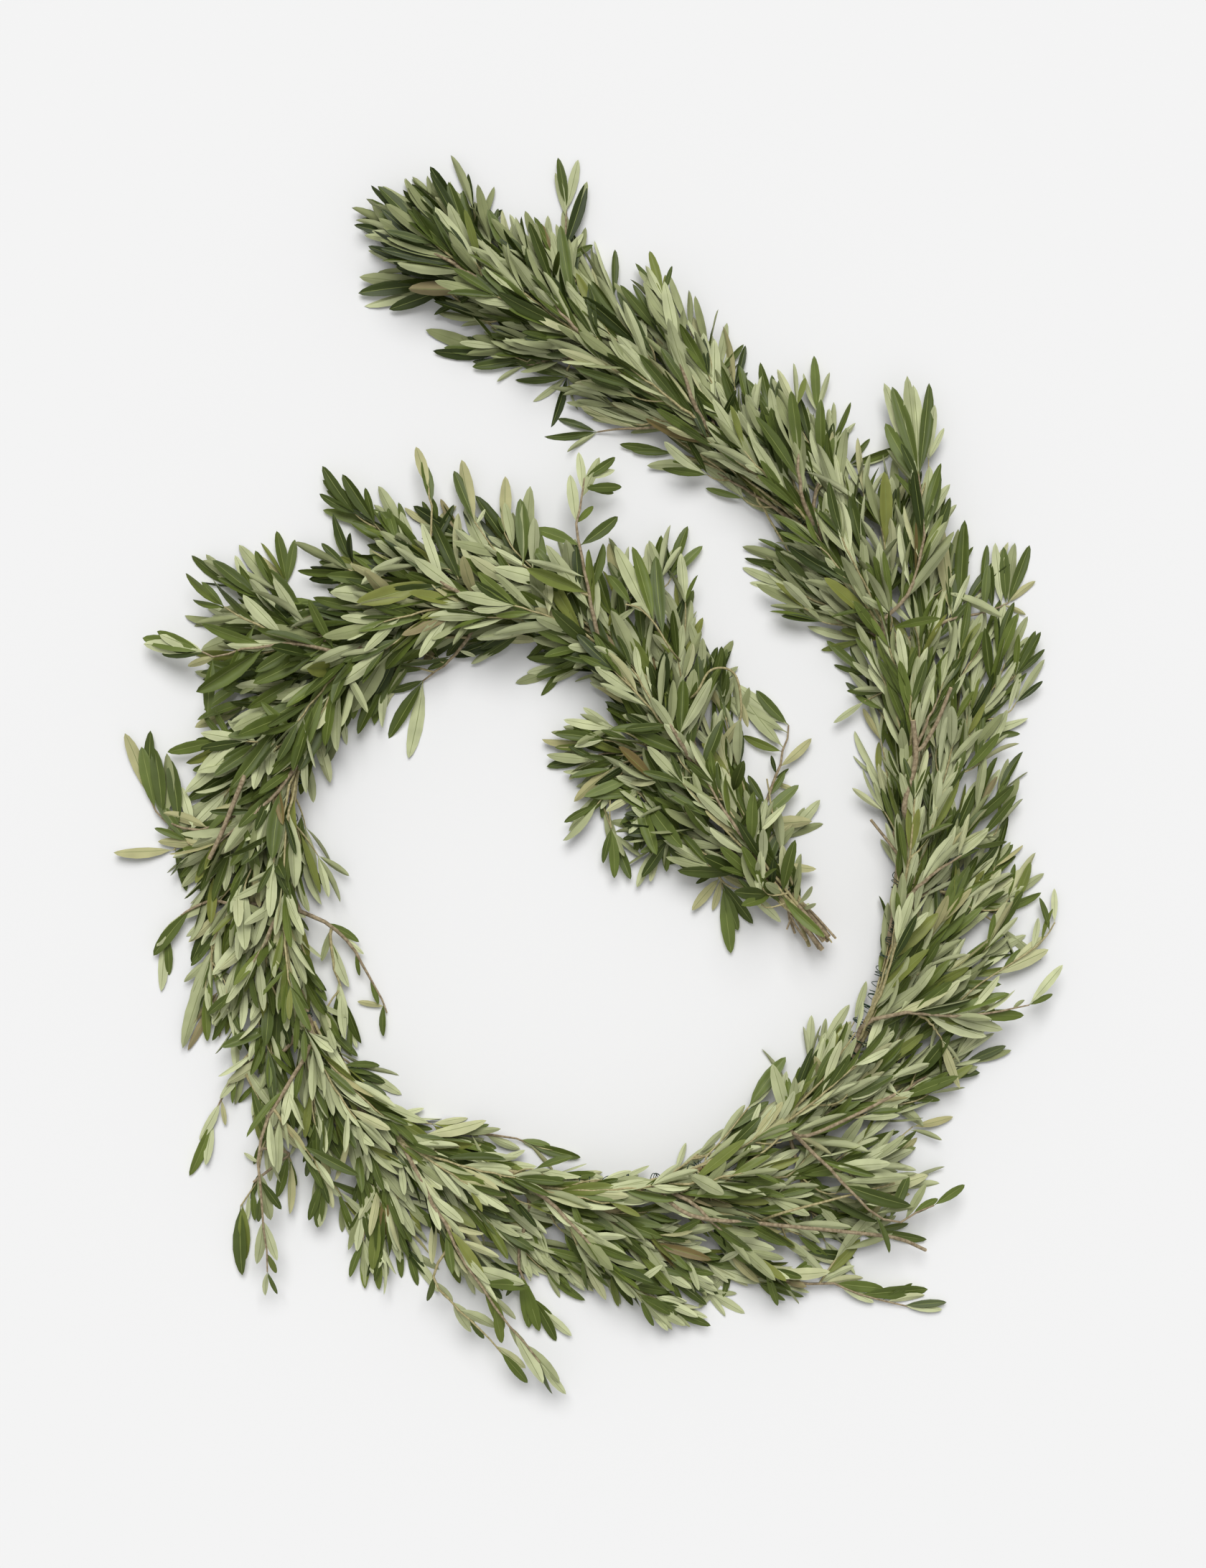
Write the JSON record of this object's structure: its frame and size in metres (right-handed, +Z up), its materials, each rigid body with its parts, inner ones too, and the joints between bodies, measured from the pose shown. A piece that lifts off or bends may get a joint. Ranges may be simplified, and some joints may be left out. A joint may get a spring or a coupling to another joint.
{
  "type": "olive branch garland",
  "caption": "Fresh olive branch garland with slender grey-green leaves, wired in overlapping bundles along a cord and laid in an open loop.",
  "frame": {"origin": "on the surface that the garland lies on, under the middle of its outline", "axes": "+Z up from the surface, +Y towards the end where the last leaves point away, +X to the right seen from above with +Y away from the viewer"},
  "size_m": [0.9551, 1.2352, 0.0895],
  "materials": {
    "olive_leaf_green": "satin",
    "olive_leaf_sage": "matte",
    "cord_fibre": "matte",
    "green_enamel_wire": "satin"
  },
  "bodies": {
    "root": {"base_cord": "cord_fibre", "binding_wire": "green_enamel_wire", "branch_01_outer": "olive_leaf_green", "branch_01_crown": "olive_leaf_sage", "branch_01_inner": "olive_leaf_green", "branch_01_below": "olive_leaf_sage", "branch_02_outer": "olive_leaf_green", "branch_02_crown": "olive_leaf_sage", "branch_02_inner": "olive_leaf_green", "branch_03_outer": "olive_leaf_sage", "branch_03_crown": "olive_leaf_green", "branch_03_inner": "olive_leaf_sage", "branch_04_outer": "olive_leaf_green", "branch_04_crown": "olive_leaf_sage", "branch_04_inner": "olive_leaf_green", "branch_05_outer": "olive_leaf_sage", "branch_05_crown": "olive_leaf_green", "branch_05_inner": "olive_leaf_sage", "branch_06_outer": "olive_leaf_green", "branch_06_crown": "olive_leaf_sage", "branch_07_outer": "olive_leaf_green", "branch_07_crown": "olive_leaf_sage", "branch_07_inner": "olive_leaf_green", "branch_08_outer": "olive_leaf_sage", "branch_08_crown": "olive_leaf_green", "branch_08_inner": "olive_leaf_sage", "branch_09_outer": "olive_leaf_green", "branch_09_crown": "olive_leaf_sage", "branch_09_inner": "olive_leaf_green", "branch_10_outer": "olive_leaf_sage", "branch_10_crown": "olive_leaf_green", "branch_10_inner": "olive_leaf_sage", "branch_11_outer": "olive_leaf_green", "branch_11_crown": "olive_leaf_sage", "branch_12_outer": "olive_leaf_green", "branch_12_crown": "olive_leaf_sage", "branch_12_inner": "olive_leaf_green", "branch_13_outer": "olive_leaf_sage", "branch_13_crown": "olive_leaf_green", "branch_14_outer": "olive_leaf_sage", "branch_14_crown": "olive_leaf_green", "branch_14_inner": "olive_leaf_sage", "branch_15_outer": "olive_leaf_green", "branch_15_crown": "olive_leaf_sage", "branch_16_outer": "olive_leaf_green", "branch_16_crown": "olive_leaf_sage", "branch_16_inner": "olive_leaf_green", "branch_17_outer": "olive_leaf_sage", "branch_17_crown": "olive_leaf_green", "branch_17_inner": "olive_leaf_sage", "branch_18_outer": "olive_leaf_green", "branch_18_crown": "olive_leaf_sage", "branch_18_inner": "olive_leaf_green", "branch_19_outer": "olive_leaf_sage", "branch_19_crown": "olive_leaf_green", "branch_19_inner": "olive_leaf_sage", "branch_20_outer": "olive_leaf_green", "branch_20_crown": "olive_leaf_sage", "branch_20_inner": "olive_leaf_green"}
  },
  "joints": []
}
